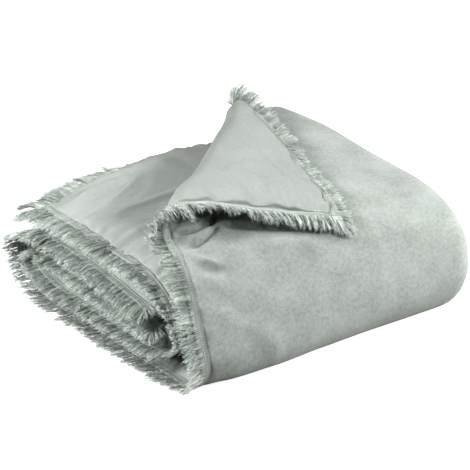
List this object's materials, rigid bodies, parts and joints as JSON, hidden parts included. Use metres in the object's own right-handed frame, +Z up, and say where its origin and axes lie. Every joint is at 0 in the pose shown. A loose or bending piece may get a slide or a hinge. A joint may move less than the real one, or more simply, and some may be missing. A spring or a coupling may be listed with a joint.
{
  "type": "eiderdown",
  "caption": "Thick filled eiderdown, doubled and folded into a bulky pad with one corner turned back, with a flat hem and a frayed fringe all round.",
  "frame": {"origin": "middle of the footprint's bounding box, on the surface that it rests on", "axes": "+Z up, X along the fold lines from the fringed side to the doubled side, Y from the front turn to the open back"},
  "size_m": [0.743, 0.7448, 0.3719],
  "materials": {
    "quilt": "sage grey-green velvet face with a smooth cotton back",
    "fringe": "frayed cotton and velvet threads"
  },
  "bodies": {
    "root": {"quiltBody": "quilt", "fringeCornerSide": "fringe", "fringeOuterRoll": "fringe", "fringeOuterFront": "fringe", "fringeOuterBottom": "fringe", "fringeOuterTurn": "fringe", "fringeOuterMiddle": "fringe", "fringeInnerTop": "fringe", "fringeInnerFront": "fringe", "fringeInnerBottom": "fringe", "fringeInnerTurn": "fringe", "fringeInnerMiddle": "fringe", "fringeCornerBack": "fringe", "fringeBackRoll": "fringe", "fringeBackDoubled": "fringe", "fringeBackInner": "fringe", "fringeEndOuter": "fringe", "fringeEndInner": "fringe"}
  },
  "joints": []
}
